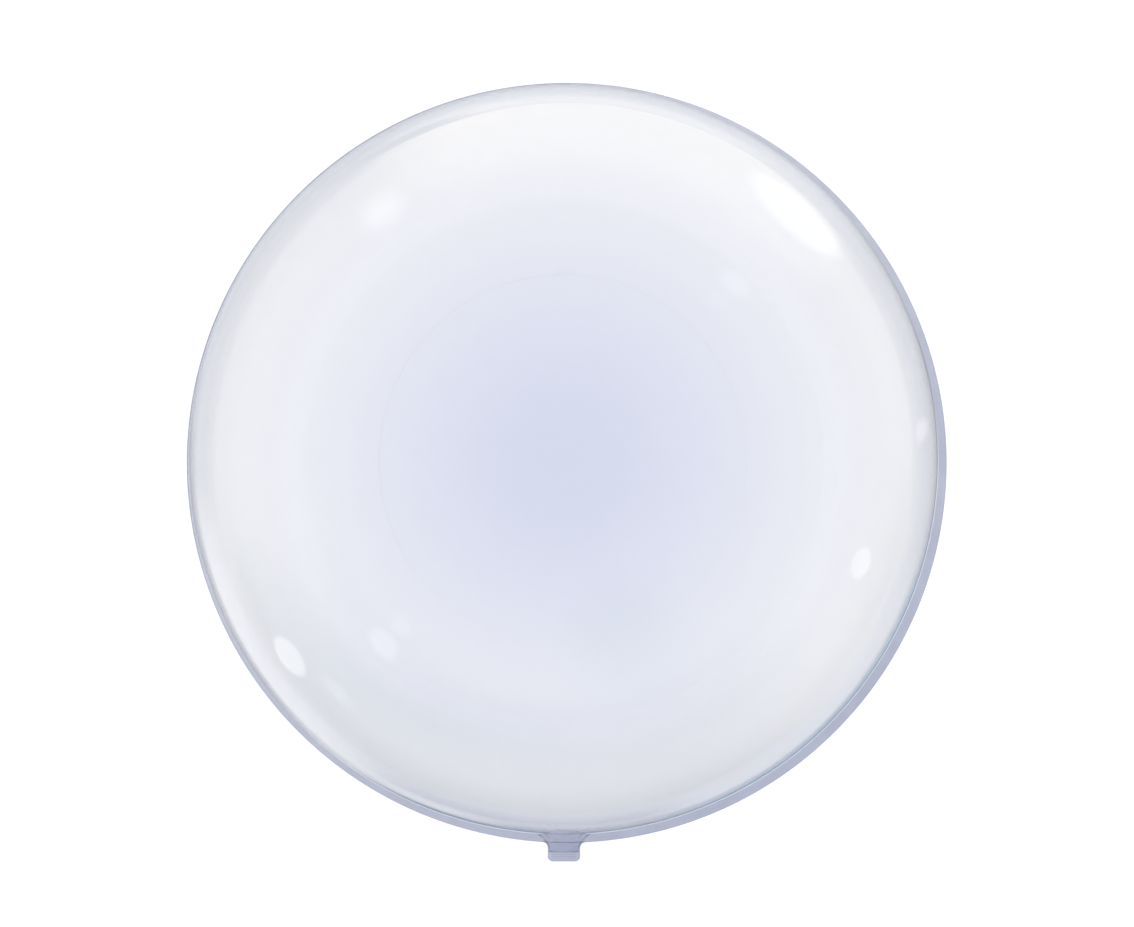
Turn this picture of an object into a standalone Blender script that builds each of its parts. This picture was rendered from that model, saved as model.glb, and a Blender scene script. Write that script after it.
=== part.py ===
"""A clear bubble balloon of stretch film, blown up and sealed, lying on a small flat spot.

Metres, +Z up. The ball's middle is over the origin, which is the middle of the flat spot.
The welded edge runs level round the ball, and the sealed neck points along -Y.
The balloon is sealed, so it is one solid with the outer shape of the film.
"""

import math

import bmesh
import bpy
from mathutils import Matrix

# The ball
BALL_DIAMETER = 0.600
REST_SPOT_DIAMETER = 0.076
BALL_STEPS = 90
PROFILE_STEPS = 36

# The welded edge, where two panels of film are fused. It was trimmed a little off centre.
WELD_WIDTH = 0.0048
WELD_SHIFT = 0.0031
WELD_SHIFT_BEARING = math.radians(315)
WELD_THICKNESS = 0.0010
WELD_STEPS = 120

# The neck: a gathered root that flattens into a heat-sealed tab
TAB_WIDTH = 0.026
TAB_REACH = 0.015
TAB_THICKNESS = 0.0018
TAB_CORNER = 0.004
TAB_CORNER_STEPS = 5
ROOT_WIDTH = 0.062
ROOT_HEIGHT = 0.026
ROOT_LENGTH = 0.016
ROOT_BURIED = 0.005
ROOT_HOLLOWNESS = 2.1
ROOT_TIP_SHARE = 0.9
PLEATS = 14
PLEAT_SHARE = 0.07
ROOT_STEPS = 84
ROOT_SECTIONS = 7

# Worked out from the sizes above
BALL_RADIUS = BALL_DIAMETER / 2
REST_SPOT_RADIUS = REST_SPOT_DIAMETER / 2
CENTRE_HEIGHT = math.sqrt(BALL_RADIUS**2 - REST_SPOT_RADIUS**2)
WELD_RADIUS = BALL_RADIUS + WELD_WIDTH
WELD_CENTRE_X = WELD_SHIFT * math.cos(WELD_SHIFT_BEARING)
WELD_CENTRE_Y = WELD_SHIFT * math.sin(WELD_SHIFT_BEARING)
WELD_FRONT_Y = WELD_CENTRE_Y - math.sqrt(WELD_RADIUS**2 - WELD_CENTRE_X**2)
TAB_TIP_Y = WELD_FRONT_Y - TAB_REACH
NECK_INNER_Y = -math.sqrt(BALL_RADIUS**2 - (ROOT_WIDTH / 2) ** 2) + ROOT_BURIED

FILM_COLOUR = (0.80, 0.83, 0.94, 1.0)
FILM_ROUGHNESS = 0.04
FILM_CLEARNESS = 0.9


def clear_scene():
    for obj in list(bpy.data.objects):
        bpy.data.objects.remove(obj, do_unlink=True)


def new_collection(name):
    collection = bpy.data.collections.new(name)
    bpy.context.scene.collection.children.link(collection)
    return collection


def clear_film_material():
    material = bpy.data.materials.new("clear_film")
    material.use_nodes = True
    shader = material.node_tree.nodes["Principled BSDF"]
    shader.inputs["Base Color"].default_value = FILM_COLOUR
    shader.inputs["Roughness"].default_value = FILM_ROUGHNESS
    shader.inputs["Transmission Weight"].default_value = FILM_CLEARNESS
    shader.inputs["Metallic"].default_value = 0.0
    return material


def ball_object(name, collection):
    """The ball, turned from an arc that ends in the flat spot it lies on."""
    spot_angle = math.asin(REST_SPOT_RADIUS / BALL_RADIUS)
    sweep = math.pi - spot_angle
    points = []
    for step in range(PROFILE_STEPS + 1):
        angle = sweep * step / PROFILE_STEPS
        points.append((BALL_RADIUS * math.sin(angle), 0, BALL_RADIUS * math.cos(angle)))
    points.append((0, 0, points[-1][2]))
    outline = bmesh.new()
    corners = [outline.verts.new(point) for point in points]
    for upper, lower in zip(corners, corners[1:]):
        outline.edges.new((upper, lower))
    mesh = bpy.data.meshes.new(name)
    outline.to_mesh(mesh)
    outline.free()
    ball = bpy.data.objects.new(name, mesh)
    collection.objects.link(ball)
    ball.location.z = CENTRE_HEIGHT
    turn = ball.modifiers.new("turn", "SCREW")
    turn.axis = "Z"
    turn.angle = 2 * math.pi
    turn.steps = BALL_STEPS
    turn.render_steps = BALL_STEPS
    turn.use_merge_vertices = True
    turn.merge_threshold = 0.00001
    turn.use_smooth_shade = True
    return ball


def helper_object(name, shape, collection):
    """A shape in the plane of the weld that is joined to the ball and isn't shown itself."""
    mesh = bpy.data.meshes.new(name)
    shape.to_mesh(mesh)
    shape.free()
    helper = bpy.data.objects.new(name, mesh)
    collection.objects.link(helper)
    helper.location.z = CENTRE_HEIGHT
    helper.hide_render = True
    helper.display_type = "WIRE"
    return helper


def weld_shape():
    """A thin disc that stands out all round the ball."""
    shape = bmesh.new()
    bmesh.ops.create_cone(
        shape,
        cap_ends=True,
        segments=WELD_STEPS,
        radius1=WELD_RADIUS,
        radius2=WELD_RADIUS,
        depth=WELD_THICKNESS,
        matrix=Matrix.Translation((WELD_CENTRE_X, WELD_CENTRE_Y, 0)),
    )
    return shape


def root_section(shape, along_y, share):
    """One pleated oval of the root, at a share of the way from the ball to the tab."""
    fall = (1 - share) ** ROOT_HOLLOWNESS
    tip_half_width = TAB_WIDTH / 2 * ROOT_TIP_SHARE
    tip_half_height = TAB_THICKNESS / 2 * ROOT_TIP_SHARE
    half_width = tip_half_width + (ROOT_WIDTH / 2 - tip_half_width) * fall
    half_height = tip_half_height + (ROOT_HEIGHT / 2 - tip_half_height) * fall
    ring = []
    for step in range(ROOT_STEPS):
        turn = 2 * math.pi * step / ROOT_STEPS
        swell = 1 + PLEAT_SHARE * (1 - share) * math.cos(PLEATS * turn)
        across = half_width * math.cos(turn) * swell
        upward = half_height * math.sin(turn) * swell
        ring.append(shape.verts.new((across, along_y, upward)))
    return ring


def root_shape():
    """The gathered root: pleated ovals that shrink from the ball to the tab."""
    shape = bmesh.new()
    rings = []
    for index in range(ROOT_SECTIONS):
        share = index / (ROOT_SECTIONS - 1)
        rings.append(root_section(shape, NECK_INNER_Y - (ROOT_BURIED + ROOT_LENGTH) * share, share))
    for near, far in zip(rings, rings[1:]):
        for step in range(ROOT_STEPS):
            after = (step + 1) % ROOT_STEPS
            shape.faces.new((near[step], near[after], far[after], far[step]))
    shape.faces.new(rings[0])
    shape.faces.new(rings[-1])
    bmesh.ops.recalc_face_normals(shape, faces=shape.faces)
    return shape


def tab_shape():
    """The heat-sealed tab: a flat strip with rounded outer corners."""
    shape = bmesh.new()
    middle_y = (NECK_INNER_Y + TAB_TIP_Y) / 2
    bmesh.ops.create_cube(shape, size=1)
    bmesh.ops.scale(shape, vec=(TAB_WIDTH, NECK_INNER_Y - TAB_TIP_Y, TAB_THICKNESS), verts=shape.verts)
    bmesh.ops.translate(shape, vec=(0, middle_y, 0), verts=shape.verts)
    outer_corners = []
    for edge in shape.edges:
        start, end = (corner.co for corner in edge.verts)
        is_upright = abs(start.z - end.z) > TAB_THICKNESS / 2
        if is_upright and start.y < middle_y:
            outer_corners.append(edge)
    bmesh.ops.bevel(
        shape,
        geom=outer_corners,
        offset=TAB_CORNER,
        segments=TAB_CORNER_STEPS,
        profile=0.5,
        affect="EDGES",
    )
    return shape


def join_to(ball, helper):
    join = ball.modifiers.new("join_" + helper.name, "BOOLEAN")
    join.operation = "UNION"
    join.solver = "EXACT"
    join.object = helper


def main():
    clear_scene()
    parts = new_collection("clear_bubble_balloon")
    helpers = new_collection("joined_shapes")
    ball = ball_object("balloon_envelope", parts)
    ball.data.materials.append(clear_film_material())
    join_to(ball, helper_object("weld_disc", weld_shape(), helpers))
    join_to(ball, helper_object("neck_root", root_shape(), helpers))
    join_to(ball, helper_object("neck_tab", tab_shape(), helpers))


main()
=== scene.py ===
"""The looks of a clear bubble balloon that lies on a pale floor, seen from straight above.

Metres, +Z up. The frame's one solid stands for the whole blown-up film. Here it is dressed as what it is:
two panels of thin clear film, the fused edge round them, and the gathered neck with its sealed tab.
"""

import math

import bmesh
import bpy
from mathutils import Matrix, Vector, noise

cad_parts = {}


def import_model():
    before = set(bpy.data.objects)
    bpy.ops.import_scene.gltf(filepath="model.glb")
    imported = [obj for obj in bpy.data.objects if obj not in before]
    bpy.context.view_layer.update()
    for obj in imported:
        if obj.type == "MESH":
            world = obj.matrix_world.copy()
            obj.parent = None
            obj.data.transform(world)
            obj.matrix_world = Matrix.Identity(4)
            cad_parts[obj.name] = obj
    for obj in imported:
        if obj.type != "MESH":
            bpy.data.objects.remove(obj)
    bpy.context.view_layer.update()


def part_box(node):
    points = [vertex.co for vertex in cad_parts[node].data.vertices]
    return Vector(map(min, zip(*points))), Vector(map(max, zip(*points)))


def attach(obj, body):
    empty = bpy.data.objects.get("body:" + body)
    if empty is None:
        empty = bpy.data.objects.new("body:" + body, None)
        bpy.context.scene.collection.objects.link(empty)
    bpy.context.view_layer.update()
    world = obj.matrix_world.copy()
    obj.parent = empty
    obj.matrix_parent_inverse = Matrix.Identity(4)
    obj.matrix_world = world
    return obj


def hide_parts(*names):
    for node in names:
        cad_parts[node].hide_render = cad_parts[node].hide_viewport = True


# The film and its flat spot
FILM_THICKNESS = 0.0003
REST_SPOT_DIAMETER = 0.076
SPOT_EDGE_RADIUS = 0.014
SPOT_EDGE_STEPS = 8
SPOT_RINGS = 5

# How finely the film is cut up: steps over the zone by the neck and over the rest
NECK_ZONE_TURN = math.radians(11)
NECK_ZONE_RISE = math.radians(7)
NEAR_TURN_STEPS = 96
FAR_TURN_STEPS = 132
NEAR_RISE_STEPS = 60
FAR_RISE_STEPS = 32

# The film's slight unevenness, which stays away from the weld and the flat spot
WAVE_HEIGHT = 0.00030
WAVE_SCALE = 6.5
WAVE_START_HEIGHT = 0.002
WAVE_FREE_HEIGHT = 0.05

# The fused edge
WELD_THICKNESS = 0.0009
WELD_SEGMENTS = 720
WELD_EDGE_STEPS = 4
WELD_INSET = 0.00025
WELD_SHARP_ANGLE = math.radians(50)

# The neck's gathered root
ROOT_WIDTH = 0.062
ROOT_HEIGHT = 0.026
ROOT_BURIED = 0.005
ROOT_LENGTH = 0.016
ROOT_HOLLOWNESS = 2.1
ROOT_TIP_HALF_WIDTH = 0.0117
ROOT_TIP_HALF_HEIGHT = 0.0008
ROOT_WALL = 0.00025
ROOT_TURN_STEPS = 224
ROOT_ROWS = 22
ROOT_SEARCH_STEPS = 30
PLEATS = 14
PLEAT_SHARE = 0.07
CREASES = 42
CREASE_SHARE = 0.018
CREASE_TURN = 0.8

# The grooves that run from the pleats out over the film
GATHER_DEPTH = 0.0007
GATHER_START = 0.85
GATHER_END = 2.3

# The sealed tab and the ribs that the sealing jaws press into it
TAB_WIDTH = 0.026
TAB_THICKNESS = 0.0011
TAB_CORNER = 0.004
TAB_OVERLAP = 0.0006
TAB_COLUMNS = 26
TAB_ROWS = 92
TAB_MERGE_DISTANCE = 0.000002
RIB_PITCH = 0.0015
RIB_HEIGHT = 0.00014
RIBS_START = 0.0062
RIBS_END = 0.0132
RIB_HALF_LENGTH = 0.0112
RIB_FADE = 0.001

# The camera, and where the balloon's outline lies in the photograph's pixels
PHOTO_WIDTH = 1134
PHOTO_HEIGHT = 927
OUTLINE_CENTRE_PX = (566.7, 462.8)
OUTLINE_RADIUS_PX = 379.9
LENS_MM = 200
SENSOR_MM = 36
FARTHEST_SEEN = 100

# How often light may bounce
MOST_BOUNCES = 14
MIRROR_BOUNCES = 6
FLOOR_BOUNCES = 1

# The film's clearness: share of the way out from the middle line, and the tint there. The tint is partly the
# film's own lavender and partly painted shade, deep at the crown and again next to the weld
FILM_IOR = 1.5
FILM_ROUGHNESS = 0.0
FILM_TINT_AND_PAINTED_SHADE = (
    (0.00, (0.851, 0.870, 0.928)),
    (0.15, (0.851, 0.870, 0.928)),
    (0.30, (0.860, 0.872, 0.931)),
    (0.55, (0.884, 0.894, 0.930)),
    (0.72, (0.903, 0.906, 0.936)),
    (0.81, (0.919, 0.924, 0.940)),
    (0.90, (0.930, 0.934, 0.941)),
    (0.95, (0.900, 0.903, 0.922)),
    (1.00, (0.866, 0.876, 0.922)),
)

# Painted shades in the film, the last one a painted lighter place. Middle to the right and up, bearing,
# half angle and softness of the ends in degrees, then the inner edge, its softness, the outer edge and its
# softness as shares of the ball's radius
PAINTED_FILM_SHADES = (
    {"middle": (0, 0), "shape": (262, 44, 26, 0.65, 0.09, 1.10, 0.03), "tint": (0.951, 0.958, 0.971)},
    {"middle": (0, 0), "shape": (272, 38, 22, 0.69, 0.030, 0.775, 0.035), "tint": (0.976, 0.978, 0.981)},
    {"middle": (-0.15, 0.07), "shape": (238, 38, 18, 0.75, 0.035, 0.82, 0.035), "tint": (0.984, 0.99, 0.992)},
    {"middle": (-0.10, 0.02), "shape": (262, 30, 18, 0.84, 0.03, 0.90, 0.03), "tint": (1.006, 1.006, 1.004)},
)

# A faint round painted shade in the film: middle to the right and up, half length, half width, tilt and
# softness
PAINTED_ROUND_SHADE = (0.165, -0.475, 0.135, 0.130, 0, 0.75)
PAINTED_ROUND_SHADE_TINT = (0.972, 0.982, 0.986)

# The weld's tint where its trim is broadest and narrowest, and the bearing of the broadest. The change
# between the two is painted shade, darker toward the broad side
WELD_BROAD_SIDE_PAINTED_SHADE_TINT = (0.425, 0.453, 0.572)
WELD_NARROW_SIDE_PAINTED_LIGHT_TINT = (0.590, 0.615, 0.680)
WELD_BROAD_SIDE_PAINTED_SHADE_BEARING = math.radians(300)
WELD_ROUGHNESS = 0.08

# The weld's faint clouds and the fine grain that pressing leaves on it
WELD_CLOUD_SCALE = 38.0
WELD_CLOUD_DETAIL = 3.0
WELD_CLOUD = ((0.3, (0.94, 0.93, 0.94)), (0.7, (1.0, 1.0, 1.0)))
WELD_GRAIN_SCALE = 420.0
WELD_GRAIN_DETAIL = 1.0
WELD_GRAIN_HEIGHT = 0.00008

# The gathered film of the neck
NECK_TINT = (0.93, 0.935, 0.96)
NECK_ROUGHNESS = 0.05
NECK_CLOUD_SCALE = 60.0
NECK_CLOUD_DETAIL = 2.0
NECK_CLOUD = ((0.3, (0.95, 0.95, 0.96)), (0.7, (1.0, 1.0, 1.0)))

# The studio
FLOOR_RADIUS = 14
FLOOR_SEGMENTS = 96
FLOOR_GAP = 0.0005
FLOOR_COLOUR = (0.50, 0.50, 0.50, 1)
FLOOR_GLOW = 0.55
ROOM_WHITE = 1.1

# What the film mirrors, from the ceiling (0) by the horizon (0.71) to the floor straight below (1)
MIRRORED_ROOM = (
    (0.00, (0.62, 0.66, 0.80)),
    (0.45, (0.82, 0.84, 0.90)),
    (0.60, (0.90, 0.91, 0.93)),
    (0.70, (0.92, 0.93, 0.95)),
    (0.78, (0.48, 0.49, 0.51)),
    (0.88, (0.48, 0.49, 0.51)),
    (0.92, (0.58, 0.59, 0.61)),
    (0.955, (0.47, 0.48, 0.52)),
    (1.00, (0.49, 0.50, 0.56)),
)

# Soft lights and dim places in stretches of ring: bearing, half angle and softness of the ends in degrees,
# then the inner edge, its softness, the outer edge and its softness as shares of the disc's radius.
# A later one covers those before it.
ARC_LIGHTS = (
    {"shape": (162, 42, 15, 0.920, 0.015, 0.955, 0.020), "colour": (0.38, 0.39, 0.42)},
    {"shape": (180, 14, 12, 0.962, 0.016, 0.980, 0.006), "colour": (0.57, 0.59, 0.63)},
    {"shape": (12, 24, 12, 0.918, 0.010, 0.955, 0.010), "colour": (0.40, 0.41, 0.44)},
    {"shape": (-5, 22, 12, 0.935, 0.015, 1.10, 0.01), "colour": (0.36, 0.37, 0.42)},
    {"shape": (20, 18, 12, 0.860, 0.040, 0.918, 0.012), "colour": (0.76, 0.76, 0.78)},
    {"shape": (211, 12, 10, 0.795, 0.020, 0.900, 0.020), "colour": (0.25, 0.28, 0.28)},
    {"shape": (332, 14, 14, 0.850, 0.050, 0.920, 0.015), "colour": (0.30, 0.30, 0.31)},
    {"shape": (325, 12, 12, 0.945, 0.015, 0.976, 0.006), "colour": (0.58, 0.61, 0.66)},
    {"shape": (257, 50, 22, 0.765, 0.050, 0.945, 0.02), "colour": (0.02, 0.02, 0.04)},
    {"shape": (268, 20, 12, 0.945, 0.02, 0.972, 0.008), "colour": (0.05, 0.09, 0.22)},
    {"shape": (272, 22, 12, 0.972, 0.008, 1.10, 0.01), "colour": (0.23, 0.26, 0.36)},
    {"shape": (306, 15, 10, 0.945, 0.02, 0.979, 0.006), "colour": (0.56, 0.61, 0.68)},
    {"shape": (240, 14, 10, 0.972, 0.008, 1.10, 0.01), "colour": (0.66, 0.68, 0.72)},
    {"shape": (256, 12, 10, 0.988, 0.004, 1.10, 0.01), "colour": (0.14, 0.20, 0.34)},
    {"shape": (318, 26, 12, 0.982, 0.004, 1.10, 0.01), "colour": (0.23, 0.34, 0.48)},
    {"shape": (300, 66, 10, 0.9958, 0.0010, 1.10, 0.01), "colour": (0.90, 0.94, 1.02)},
    {"shape": (80, 36, 12, 0.74, 0.09, 0.9425, 0.003), "colour": (1.34, 1.28, 1.14)},
    {"shape": (75, 24, 10, 0.90, 0.02, 0.9475, 0.003), "colour": (1.30, 1.26, 1.16)},
    {"shape": (78, 34, 14, 0.9470, 0.003, 1.10, 0.01), "colour": (0.72, 0.74, 0.79)},
    {"shape": (86, 26, 12, 0.9475, 0.003, 0.966, 0.010), "colour": (1.04, 1.04, 1.02)},
    {"shape": (121, 10, 8, 0.9405, 0.003, 0.958, 0.006), "colour": (0.34, 0.38, 0.42)},
    {"shape": (138, 30, 14, 0.980, 0.01, 1.10, 0.01), "colour": (0.66, 0.69, 0.76)},
    {"shape": (212, 18, 14, 0.932, 0.030, 0.982, 0.006), "colour": (1.02, 1.01, 1.02)},
)

# Soft lights in ovals: middle to the right and up, half length, half width, tilt in degrees and softness,
# then how much of the room behind it a light covers
OVAL_LIGHTS = (
    {"shape": (0.575, 0.612, 0.160, 0.062, -43, 0.60), "share": 0.6, "colour": (1.25, 1.22, 1.15)},
    {"shape": (0.609, 0.647, 0.148, 0.044, -43, 0.25), "share": 1.0, "colour": (1.9, 1.9, 1.8)},
    {"shape": (-0.470, 0.652, 0.060, 0.042, 40, 0.75), "share": 1.0, "colour": (1.6, 1.6, 1.55)},
    {"shape": (0.780, -0.271, 0.043, 0.024, 71, 0.20), "share": 1.0, "colour": (1.5, 1.5, 1.5)},
    {"shape": (-0.7235, -0.515, 0.060, 0.027, -54, 0.20), "share": 1.0, "colour": (1.38, 1.38, 1.36)},
    {"shape": (-0.471, -0.481, 0.046, 0.028, -50, 0.35), "share": 1.0, "colour": (1.62, 1.62, 1.62)},
    {"shape": (-0.427, -0.435, 0.028, 0.022, -50, 0.50), "share": 1.0, "colour": (1.30, 1.30, 1.30)},
    {"shape": (-0.595, -0.606, 0.050, 0.016, -45, 0.60), "share": 0.5, "colour": (1.0, 1.0, 1.0)},
    {"shape": (0.946, 0.078, 0.030, 0.015, 80, 0.60), "share": 1.0, "colour": (0.80, 0.80, 0.80)},
)

# Guards against dividing by nothing: the least distance from the middle, and the least square of a
# mirrored direction's spread
LEAST_DISTANCE = 0.001
LEAST_SPREAD_SQUARED = 0.00001


def read_frame():
    """The balloon's main sizes, worked out from the frame's solid."""
    low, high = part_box("balloon_envelope")
    spot_radius = REST_SPOT_DIAMETER / 2
    height = high.z - low.z
    ball_radius = (height**2 + spot_radius**2) / (2 * height)
    outline_radius = (high.x - low.x) / 2
    return {
        "ball_radius": ball_radius,
        "centre": Vector((0, 0, high.z - ball_radius)),
        "outline_radius": outline_radius,
        "outline_centre": Vector(((low.x + high.x) / 2, high.y - outline_radius, high.z - ball_radius)),
        "tip_y": low.y,
        "floor_z": low.z,
    }


def new_object(name, mesh):
    obj = bpy.data.objects.new(name, mesh)
    bpy.context.scene.collection.objects.link(obj)
    return obj


def mesh_from(name, shape, smooth=True):
    bmesh.ops.recalc_face_normals(shape, faces=shape.faces)
    mesh = bpy.data.meshes.new(name)
    shape.to_mesh(mesh)
    shape.free()
    if smooth:
        mesh.shade_smooth()
    return mesh


def ease(value, low, high):
    """0 below low, 1 above high and an S curve between them."""
    share = min(1.0, max(0.0, (value - low) / (high - low)))
    return share * share * (3 - 2 * share)


def steps_between(start, end, count):
    """Evenly spaced values from start up to but not including end."""
    return [start + (end - start) * step / count for step in range(count)]


def film_turns():
    """Bearings round the middle line, close together by the neck."""
    neck = -math.pi / 2
    near = steps_between(neck - NECK_ZONE_TURN, neck + NECK_ZONE_TURN, NEAR_TURN_STEPS)
    far = steps_between(neck + NECK_ZONE_TURN, neck - NECK_ZONE_TURN + 2 * math.pi, FAR_TURN_STEPS)
    return near + far


def film_profile(size):
    """Radius and height down the film's side, from the crown to the middle of the flat spot."""
    ball = size["ball_radius"]
    centre_z = size["centre"].z
    floor_z = size["floor_z"]
    fillet = SPOT_EDGE_RADIUS
    fillet_z = floor_z + fillet
    fillet_x = math.sqrt((ball - fillet) ** 2 - (centre_z - fillet_z) ** 2)
    join_angle = math.atan2(fillet_x, fillet_z - centre_z)
    level = math.pi / 2
    angles = steps_between(0, level - NECK_ZONE_RISE, FAR_RISE_STEPS)
    angles += steps_between(level - NECK_ZONE_RISE, level + NECK_ZONE_RISE, NEAR_RISE_STEPS)
    angles += steps_between(level + NECK_ZONE_RISE, join_angle, FAR_RISE_STEPS)
    angles.append(join_angle)
    points = [(ball * math.sin(angle), centre_z + ball * math.cos(angle)) for angle in angles]
    for step in range(1, SPOT_EDGE_STEPS + 1):
        angle = join_angle + (math.pi - join_angle) * step / SPOT_EDGE_STEPS
        points.append((fillet_x + fillet * math.sin(angle), fillet_z + fillet * math.cos(angle)))
    for ring in range(1, SPOT_RINGS):
        points.append((fillet_x * (1 - ring / SPOT_RINGS), floor_z))
    return points


def turned_surface(points, turns):
    """Rings turned about the middle line, closed with a fan at the top and at the bottom."""
    shape = bmesh.new()
    top = shape.verts.new((0, 0, points[0][1]))
    bottom = shape.verts.new((0, 0, points[-1][1]))
    rings = []
    for radius, height in points[1:]:
        ring = [shape.verts.new((radius * math.cos(turn), radius * math.sin(turn), height)) for turn in turns]
        rings.append(ring)
    for step in range(len(turns)):
        after = (step + 1) % len(turns)
        shape.faces.new((top, rings[0][step], rings[0][after]))
        shape.faces.new((bottom, rings[-1][after], rings[-1][step]))
        for upper, lower in zip(rings, rings[1:]):
            shape.faces.new((upper[step], lower[step], lower[after], upper[after]))
    return shape


def wave_offset(point, size):
    """How far the film stands out of a true ball: low, broad swellings."""
    above_floor = ease(point.z - size["floor_z"], WAVE_START_HEIGHT, WAVE_FREE_HEIGHT)
    off_weld = ease(abs(point.z - size["centre"].z), 0.0, WAVE_FREE_HEIGHT)
    return WAVE_HEIGHT * above_floor * off_weld * noise.noise(point * WAVE_SCALE)


def gather_offset(point, size):
    """How far the film is drawn in by a groove that runs out from between two pleats."""
    if point.y > 0:
        return 0.0
    across = point.x / (ROOT_WIDTH / 2)
    upward = (point.z - size["centre"].z) / (ROOT_HEIGHT / 2)
    reach = math.hypot(across, upward)
    fade = 1 - ease(reach, GATHER_START, GATHER_END)
    groove = 0.5 - 0.5 * math.cos(PLEATS * math.atan2(upward, across))
    return -GATHER_DEPTH * fade * groove * ease(reach, 0.0, GATHER_START)


def make_film(size, material):
    """The blown-up film as a closed skin of its own thickness, with the air inside left empty."""
    shape = turned_surface(film_profile(size), film_turns())
    for corner in shape.verts:
        outward = (corner.co - size["centre"]).normalized()
        corner.co += outward * (wave_offset(corner.co, size) + gather_offset(corner.co, size))
    film = new_object("blown_film", mesh_from("blown_film", shape))
    wall = film.modifiers.new("film_wall", "SOLIDIFY")
    wall.thickness = FILM_THICKNESS
    wall.offset = -1
    wall.use_even_offset = True
    film.data.materials.append(material)
    return film


def make_weld(size, material):
    """The fused edge: a flat ring from the film out to the off-centre trimmed outline.

    The film doesn't mirror it, because its image would be a dark line all along the ball's edge.
    """
    shape = bmesh.new()
    half = WELD_THICKNESS / 2
    centre = size["outline_centre"]
    offset = Vector((centre.x, centre.y, 0))
    rows = []
    for step in range(WELD_SEGMENTS):
        turn = 2 * math.pi * step / WELD_SEGMENTS
        direction = Vector((math.cos(turn), math.sin(turn), 0))
        inner = direction * (size["ball_radius"] - WELD_INSET)
        along = direction.dot(offset)
        reach = along + math.sqrt(size["outline_radius"] ** 2 - offset.length_squared + along**2)
        row = [inner + Vector((0, 0, half)), inner - Vector((0, 0, half))]
        for edge in range(WELD_EDGE_STEPS + 1):
            angle = -math.pi / 2 + math.pi * edge / WELD_EDGE_STEPS
            upward = Vector((0, 0, half * math.sin(angle)))
            row.append(direction * (reach - half + half * math.cos(angle)) + upward)
        rows.append([shape.verts.new(point + Vector((0, 0, centre.z))) for point in row])
    for step in range(WELD_SEGMENTS):
        row, after = rows[step], rows[(step + 1) % WELD_SEGMENTS]
        for corner in range(len(row)):
            following = (corner + 1) % len(row)
            shape.faces.new((row[corner], row[following], after[following], after[corner]))
    mesh = mesh_from("welded_edge", shape)
    mesh.set_sharp_from_angle(angle=WELD_SHARP_ANGLE)
    weld = new_object("welded_edge", mesh)
    weld.visible_glossy = False
    weld.data.materials.append(material)
    return weld


def root_point(size, turn, share):
    """A point on the gathered root, at a share of the way from inside the ball to the tab."""
    fall = (1 - share) ** ROOT_HOLLOWNESS
    half_width = ROOT_TIP_HALF_WIDTH + (ROOT_WIDTH / 2 - ROOT_TIP_HALF_WIDTH) * fall
    half_height = ROOT_TIP_HALF_HEIGHT + (ROOT_HEIGHT / 2 - ROOT_TIP_HALF_HEIGHT) * fall
    pleat = PLEAT_SHARE * math.cos(PLEATS * turn) + CREASE_SHARE * math.cos(CREASES * turn + CREASE_TURN)
    swell = 1 + (1 - share) * pleat
    inner_y = -math.sqrt(size["ball_radius"] ** 2 - (ROOT_WIDTH / 2) ** 2) + ROOT_BURIED
    return Vector((
        half_width * math.cos(turn) * swell,
        inner_y - (ROOT_BURIED + ROOT_LENGTH) * share,
        size["centre"].z + half_height * math.sin(turn) * swell,
    ))


def root_start(size, turn):
    """The share at which the root comes out of the ball."""
    low, high = 0.0, 1.0
    for _ in range(ROOT_SEARCH_STEPS):
        middle = (low + high) / 2
        if (root_point(size, turn, middle) - size["centre"]).length < size["ball_radius"] - FILM_THICKNESS:
            low = middle
        else:
            high = middle
    return low


def make_root(size, material):
    """The gathered root of the neck: a pleated skirt of film from the ball to the tab."""
    shape = bmesh.new()
    rows = []
    starts = [root_start(size, 2 * math.pi * step / ROOT_TURN_STEPS) for step in range(ROOT_TURN_STEPS)]
    for row in range(ROOT_ROWS + 1):
        ring = []
        for step, start in enumerate(starts):
            turn = 2 * math.pi * step / ROOT_TURN_STEPS
            ring.append(shape.verts.new(root_point(size, turn, start + (1 - start) * row / ROOT_ROWS)))
        rows.append(ring)
    for near, far in zip(rows, rows[1:]):
        for step in range(ROOT_TURN_STEPS):
            after = (step + 1) % ROOT_TURN_STEPS
            shape.faces.new((near[step], far[step], far[after], near[after]))
    root = new_object("gathered_neck", mesh_from("gathered_neck", shape))
    wall = root.modifiers.new("film_wall", "SOLIDIFY")
    wall.thickness = ROOT_WALL
    wall.offset = -1
    root.data.materials.append(material)
    return root


def tab_half_width(past_weld, reach):
    """Half the tab's width at a distance past the weld, with hollow corners inside and round ones outside."""
    half = TAB_WIDTH / 2
    inside = max(0.0, TAB_CORNER - past_weld)
    outside = max(0.0, past_weld - (reach - TAB_CORNER))
    half += TAB_CORNER - math.sqrt(TAB_CORNER**2 - min(inside, TAB_CORNER) ** 2)
    return half - TAB_CORNER + math.sqrt(TAB_CORNER**2 - min(outside, TAB_CORNER) ** 2)


def rib_height(across, past_weld):
    """The height of the pressed ribs at a place on the tab."""
    inside = ease(past_weld, RIBS_START, RIBS_START + RIB_PITCH / 2)
    inside *= 1 - ease(past_weld, RIBS_END - RIB_PITCH / 2, RIBS_END)
    inside *= 1 - ease(abs(across), RIB_HALF_LENGTH - RIB_FADE, RIB_HALF_LENGTH)
    return RIB_HEIGHT * inside * math.cos(2 * math.pi * past_weld / RIB_PITCH)


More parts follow.
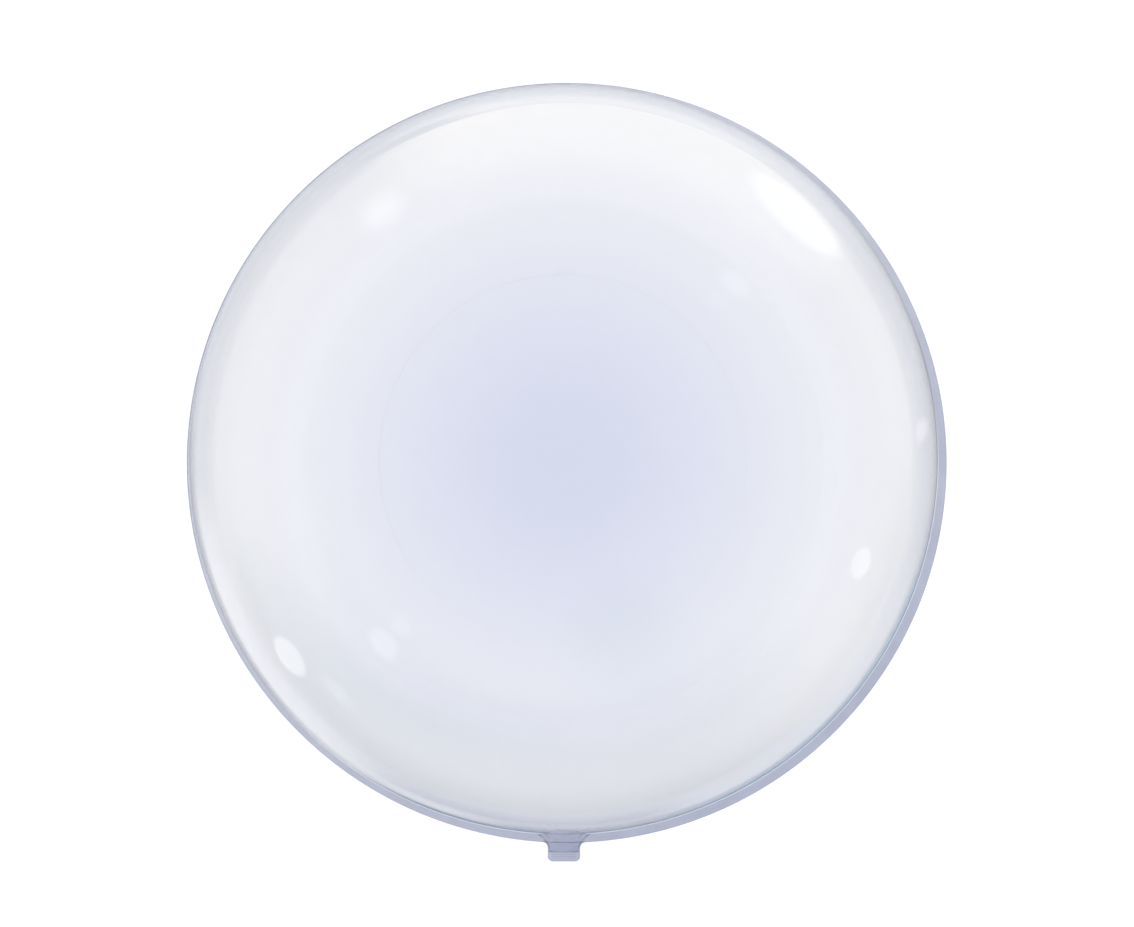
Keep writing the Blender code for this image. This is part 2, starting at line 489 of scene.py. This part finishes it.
def make_tab(size, material):
    """The heat-sealed tab: a flat strip with rounded rims, closed where its two faces meet."""
    shape = bmesh.new()
    centre = size["outline_centre"]
    half_thickness = TAB_THICKNESS / 2
    front_y = centre.y - math.sqrt(size["outline_radius"] ** 2 - centre.x**2)
    reach = front_y - size["tip_y"]
    faces = {}
    for side in (1, -1):
        for row in range(TAB_ROWS + 1):
            share = row / TAB_ROWS
            past_weld = -TAB_OVERLAP + (reach + TAB_OVERLAP) * share
            half_width = tab_half_width(max(0.0, past_weld), reach)
            for column in range(TAB_COLUMNS + 1):
                across = half_width * math.sin(math.pi * (column / TAB_COLUMNS - 0.5))
                curved = math.sqrt(size["outline_radius"] ** 2 - (across - centre.x) ** 2)
                weld_y = centre.y - curved
                rim = min(half_width - abs(across), reach - past_weld, past_weld + TAB_OVERLAP)
                closeness = 1 - min(1.0, max(0.0, rim) / half_thickness)
                height = (half_thickness + rib_height(across, past_weld)) * math.sqrt(1 - closeness**2)
                along = weld_y - past_weld + (front_y - weld_y) * max(0.0, past_weld) / reach
                place = Vector((across, along, centre.z + side * height))
                faces[side, row, column] = shape.verts.new(place)
    for side in (1, -1):
        for row in range(TAB_ROWS):
            for column in range(TAB_COLUMNS):
                corners = ((row, column), (row, column + 1), (row + 1, column + 1), (row + 1, column))
                shape.faces.new([faces[side, *corner] for corner in corners])
    bmesh.ops.remove_doubles(shape, verts=shape.verts, dist=TAB_MERGE_DISTANCE)
    tab = new_object("sealed_tab", mesh_from("sealed_tab", shape))
    tab.data.materials.append(material)
    return tab


class NodeMaths:
    """Short calls that add maths nodes to one tree and return their outputs."""

    def __init__(self, tree):
        self.tree = tree

    def set_input(self, socket, value):
        if isinstance(value, bpy.types.NodeSocket):
            self.tree.links.new(value, socket)
        else:
            socket.default_value = value

    def maths(self, operation, first, second=0.0):
        node = self.tree.nodes.new("ShaderNodeMath")
        node.operation = operation
        self.set_input(node.inputs[0], first)
        self.set_input(node.inputs[1], second)
        return node.outputs[0]

    def add(self, first, second):
        return self.maths("ADD", first, second)

    def subtract(self, first, second):
        return self.maths("SUBTRACT", first, second)

    def multiply(self, first, second):
        return self.maths("MULTIPLY", first, second)

    def divide(self, first, second):
        return self.maths("DIVIDE", first, second)

    def at_least(self, value, least):
        return self.maths("MAXIMUM", value, least)

    def root(self, value):
        return self.maths("SQRT", value)

    def length(self, first, second):
        """The length of a step with these two parts."""
        return self.root(self.add(self.multiply(first, first), self.multiply(second, second)))

    def turned(self, first, second, turn):
        """How far a step with these two parts goes in a direction."""
        return self.add(self.multiply(first, math.cos(turn)), self.multiply(second, math.sin(turn)))

    def smooth(self, value, low, high):
        """0 below low, 1 above high and an S curve between them."""
        node = self.tree.nodes.new("ShaderNodeMapRange")
        node.interpolation_type = "SMOOTHSTEP"
        self.set_input(node.inputs["Value"], value)
        node.inputs["From Min"].default_value = low
        node.inputs["From Max"].default_value = high
        return node.outputs["Result"]

    def falling(self, value, low, high):
        return self.subtract(1.0, self.smooth(value, low, high))

    def mix(self, share, first, second, blend="MIX"):
        """Two colours mixed. Inputs 6 and 7 and output 2 are the node's sockets for colours."""
        node = self.tree.nodes.new("ShaderNodeMix")
        node.data_type = "RGBA"
        node.blend_type = blend
        self.set_input(node.inputs[0], share)
        self.set_input(node.inputs[6], first)
        self.set_input(node.inputs[7], second)
        return node.outputs[2]

    def ramp(self, value, stops):
        node = self.tree.nodes.new("ShaderNodeValToRGB")
        elements = node.color_ramp.elements
        node.color_ramp.interpolation = "EASE"
        elements.remove(elements[1])
        elements[0].position = stops[0][0]
        elements[0].color = (*stops[0][1], 1)
        for place, colour in stops[1:]:
            elements.new(place).color = (*colour, 1)
        self.set_input(node.inputs["Fac"], value)
        return node.outputs["Color"]

    def noise(self, place, scale, detail):
        node = self.tree.nodes.new("ShaderNodeTexNoise")
        self.tree.links.new(place, node.inputs["Vector"])
        node.inputs["Scale"].default_value = scale
        node.inputs["Detail"].default_value = detail
        return node.outputs["Fac"]

    def bump(self, height, distance):
        node = self.tree.nodes.new("ShaderNodeBump")
        self.tree.links.new(height, node.inputs["Height"])
        node.inputs["Distance"].default_value = distance
        return node.outputs["Normal"]

    def object_place(self):
        """The object coordinates and their three parts."""
        place = self.tree.nodes.new("ShaderNodeTexCoord")
        parts = self.tree.nodes.new("ShaderNodeSeparateXYZ")
        self.tree.links.new(place.outputs["Object"], parts.inputs[0])
        return place.outputs["Object"], parts.outputs

    def bearing_share(self, parts, bearing):
        """1 on a bearing from the middle line, 0 opposite it, with a smooth change between them."""
        across = self.length(parts[0], parts[1])
        ahead = self.turned(parts[0], parts[1], bearing)
        return self.add(0.5, self.multiply(0.5, self.divide(ahead, self.at_least(across, LEAST_DISTANCE))))


def principled(name):
    material = bpy.data.materials.new(name)
    material.use_nodes = True
    shader = material.node_tree.nodes["Principled BSDF"]
    return material, shader, NodeMaths(material.node_tree)


def film_material(size):
    """Thin clear film, its tint partly its own and partly painted shade: lavender at the crown, clearest near
    the edge, deeper again at the weld, with painted shades and a painted lighter place over it.
    """
    material, shader, nodes = principled("clear_film")
    _, parts = nodes.object_place()
    share = nodes.divide(nodes.length(parts[0], parts[1]), size["ball_radius"])
    # The film's own tint with painted shade, deep at the crown and again next to the weld
    tint = nodes.ramp(share, FILM_TINT_AND_PAINTED_SHADE)
    right = nodes.divide(parts[0], size["ball_radius"])
    up = nodes.divide(parts[1], size["ball_radius"])
    # Painted shades darken the film's tint here, and the last one lightens it
    for shade in PAINTED_FILM_SHADES:
        strength = arc_light(nodes, right, up, shade["middle"], shade["shape"])
        tint = nodes.mix(strength, tint, (*shade["tint"], 1), blend="MULTIPLY")
    # A faint round painted shade over the film's tint
    painted_round_shade = oval_light(nodes, right, up, PAINTED_ROUND_SHADE)
    tint = nodes.mix(painted_round_shade, tint, (*PAINTED_ROUND_SHADE_TINT, 1), blend="MULTIPLY")
    material.node_tree.links.new(tint, shader.inputs["Base Color"])
    shader.inputs["Transmission Weight"].default_value = 1.0
    shader.inputs["Roughness"].default_value = FILM_ROUGHNESS
    shader.inputs["IOR"].default_value = FILM_IOR
    return material


def weld_material():
    """The fused edge: two films thick and hardly stretched, so its tint is much deeper. Painted shade makes
    it darker toward the broad side of its trim and lighter toward the narrow side.
    """
    material, shader, nodes = principled("welded_film")
    place, parts = nodes.object_place()
    # Painted shade: the weld darker toward the bearing of its broadest trim
    toward_broad_painted_shade = nodes.bearing_share(parts, WELD_BROAD_SIDE_PAINTED_SHADE_BEARING)
    tint = nodes.mix(toward_broad_painted_shade, (*WELD_NARROW_SIDE_PAINTED_LIGHT_TINT, 1), (*WELD_BROAD_SIDE_PAINTED_SHADE_TINT, 1))
    cloud = nodes.ramp(nodes.noise(place, WELD_CLOUD_SCALE, WELD_CLOUD_DETAIL), WELD_CLOUD)
    tint = nodes.mix(1.0, tint, cloud, blend="MULTIPLY")
    material.node_tree.links.new(tint, shader.inputs["Base Color"])
    pressed = nodes.bump(nodes.noise(place, WELD_GRAIN_SCALE, WELD_GRAIN_DETAIL), WELD_GRAIN_HEIGHT)
    material.node_tree.links.new(pressed, shader.inputs["Normal"])
    shader.inputs["Transmission Weight"].default_value = 1.0
    shader.inputs["Roughness"].default_value = WELD_ROUGHNESS
    shader.inputs["IOR"].default_value = FILM_IOR
    return material


def neck_material():
    """The gathered film of the neck: hardly stretched, so a little deeper in tint than the ball."""
    material, shader, nodes = principled("gathered_film")
    place, _ = nodes.object_place()
    cloud = nodes.ramp(nodes.noise(place, NECK_CLOUD_SCALE, NECK_CLOUD_DETAIL), NECK_CLOUD)
    tint = nodes.mix(1.0, cloud, (*NECK_TINT, 1), blend="MULTIPLY")
    material.node_tree.links.new(tint, shader.inputs["Base Color"])
    shader.inputs["Transmission Weight"].default_value = 1.0
    shader.inputs["Roughness"].default_value = NECK_ROUGHNESS
    shader.inputs["IOR"].default_value = FILM_IOR
    return material


def make_floor(size):
    """The pale floor. The film doesn't mirror it, because the mirrored room has a floor of its own."""
    shape = bmesh.new()
    bmesh.ops.create_circle(shape, cap_ends=True, segments=FLOOR_SEGMENTS, radius=FLOOR_RADIUS)
    floor = new_object("floor", mesh_from("floor", shape, smooth=False))
    floor.location.z = size["floor_z"] - FLOOR_GAP
    material, shader, _ = principled("floor_white")
    shader.inputs["Base Color"].default_value = FLOOR_COLOUR
    shader.inputs["Roughness"].default_value = 1.0
    shader.inputs["Specular IOR Level"].default_value = 0.0
    shader.inputs["Emission Color"].default_value = (1, 1, 1, 1)
    shader.inputs["Emission Strength"].default_value = FLOOR_GLOW
    floor.data.materials.append(material)
    floor.visible_glossy = False


def studio_disc(nodes, direction):
    """Where a direction lies, and how far out, in the disc that a shiny ball shows of its surroundings."""
    parts = nodes.tree.nodes.new("ShaderNodeSeparateXYZ")
    nodes.tree.links.new(direction, parts.inputs[0])
    spread_squared = nodes.multiply(2.0, nodes.add(1.0, parts.outputs[2]))
    spread = nodes.root(nodes.at_least(spread_squared, LEAST_SPREAD_SQUARED))
    right = nodes.divide(parts.outputs[0], spread)
    up = nodes.divide(parts.outputs[1], spread)
    out_squared = nodes.divide(nodes.subtract(1.0, parts.outputs[2]), 2.0)
    out = nodes.root(nodes.at_least(out_squared, 0.0))
    return right, up, out


def oval_light(nodes, right, up, light):
    """1 inside an oval of the disc, 0 outside it, with a soft edge."""
    middle_right, middle_up, half_long, half_wide, tilt, softness = light
    turn = math.radians(tilt)
    across = nodes.subtract(right, middle_right)
    along = nodes.subtract(up, middle_up)
    long_way = nodes.turned(across, along, turn)
    wide_way = nodes.turned(across, along, turn + math.pi / 2)
    reach = nodes.length(nodes.divide(long_way, half_long), nodes.divide(wide_way, half_wide))
    return nodes.falling(reach, 1 - softness, 1 + softness)


def arc_light(nodes, right, up, middle, light):
    """1 in a stretch of ring round a middle, with its own softness inside, outside and at the ends."""
    bearing, half_angle, end_softness, inner, inner_softness, outer, outer_softness = light
    turn = math.radians(bearing)
    across = nodes.subtract(right, middle[0])
    along = nodes.subtract(up, middle[1])
    out = nodes.length(across, along)
    facing = nodes.divide(nodes.turned(across, along, turn), nodes.at_least(out, LEAST_DISTANCE))
    far_end = math.cos(math.radians(half_angle + end_softness))
    near_end = math.cos(math.radians(max(0, half_angle - end_softness)))
    ends = nodes.smooth(facing, far_end, near_end)
    inside = nodes.smooth(out, inner - inner_softness, inner + inner_softness)
    outside = nodes.falling(out, outer - outer_softness, outer + outer_softness)
    return nodes.multiply(ends, nodes.multiply(inside, outside))


def mirrored_colour(nodes):
    """The mirrored room: a lavender ceiling, a pale horizon, a dim floor, soft lights and dim places."""
    direction = nodes.tree.nodes.new("ShaderNodeTexCoord").outputs["Generated"]
    right, up, out = studio_disc(nodes, direction)
    mirrored = nodes.ramp(out, MIRRORED_ROOM)
    for light in ARC_LIGHTS:
        shape = arc_light(nodes, right, up, (0, 0), light["shape"])
        mirrored = nodes.mix(shape, mirrored, (*light["colour"], 1))
    for light in OVAL_LIGHTS:
        shape = oval_light(nodes, right, up, light["shape"])
        mirrored = nodes.mix(nodes.multiply(shape, light["share"]), mirrored, (*light["colour"], 1))
    return mirrored


def make_world():
    """White surroundings, and a greyer room with soft lights that only glossy surfaces mirror."""
    world = bpy.data.worlds.new("studio")
    bpy.context.scene.world = world
    world.use_nodes = True
    world.cycles.sampling_method = "NONE"
    tree = world.node_tree
    plain = tree.nodes["Background"]
    plain.inputs["Color"].default_value = (*[ROOM_WHITE] * 3, 1)
    room = tree.nodes.new("ShaderNodeBackground")
    nodes = NodeMaths(tree)
    tree.links.new(mirrored_colour(nodes), room.inputs["Color"])
    rays = tree.nodes.new("ShaderNodeLightPath")
    mirrored = nodes.maths("MINIMUM", rays.outputs["Glossy Depth"], 1.0)
    mirrored = nodes.subtract(mirrored, rays.outputs["Diffuse Depth"])
    choice = tree.nodes.new("ShaderNodeMixShader")
    tree.links.new(nodes.at_least(mirrored, 0.0), choice.inputs["Fac"])
    tree.links.new(plain.outputs[0], choice.inputs[1])
    tree.links.new(room.outputs[0], choice.inputs[2])
    tree.links.new(choice.outputs[0], tree.nodes["World Output"].inputs["Surface"])


def make_camera(size):
    """Straight down, with the outline's middle and width where the photograph has them."""
    metres_per_px = size["outline_radius"] / OUTLINE_RADIUS_PX
    distance = metres_per_px * PHOTO_WIDTH * LENS_MM / SENSOR_MM
    data = bpy.data.cameras.new("camera")
    data.lens = LENS_MM
    data.sensor_width = SENSOR_MM
    data.clip_end = FARTHEST_SEEN
    camera = new_object("camera", data)
    right = (PHOTO_WIDTH / 2 - OUTLINE_CENTRE_PX[0]) * metres_per_px
    up = (OUTLINE_CENTRE_PX[1] - PHOTO_HEIGHT / 2) * metres_per_px
    camera.location = size["outline_centre"] + Vector((right, up, distance))
    bpy.context.scene.camera = camera


def main():
    bpy.ops.wm.read_factory_settings(use_empty=True)
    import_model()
    size = read_frame()
    scene = bpy.context.scene
    scene.view_settings.view_transform = "Standard"
    scene.cycles.blur_glossy = 0.0
    scene.cycles.max_bounces = MOST_BOUNCES
    scene.cycles.transmission_bounces = MOST_BOUNCES
    scene.cycles.glossy_bounces = MIRROR_BOUNCES
    scene.cycles.diffuse_bounces = FLOOR_BOUNCES
    film = make_film(size, film_material(size))
    welded = weld_material()
    weld = make_weld(size, welded)
    root = make_root(size, neck_material())
    tab = make_tab(size, welded)
    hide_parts("balloon_envelope")
    for piece in (film, weld, root, tab):
        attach(piece, "root")
    make_floor(size)
    make_world()
    make_camera(size)


main()
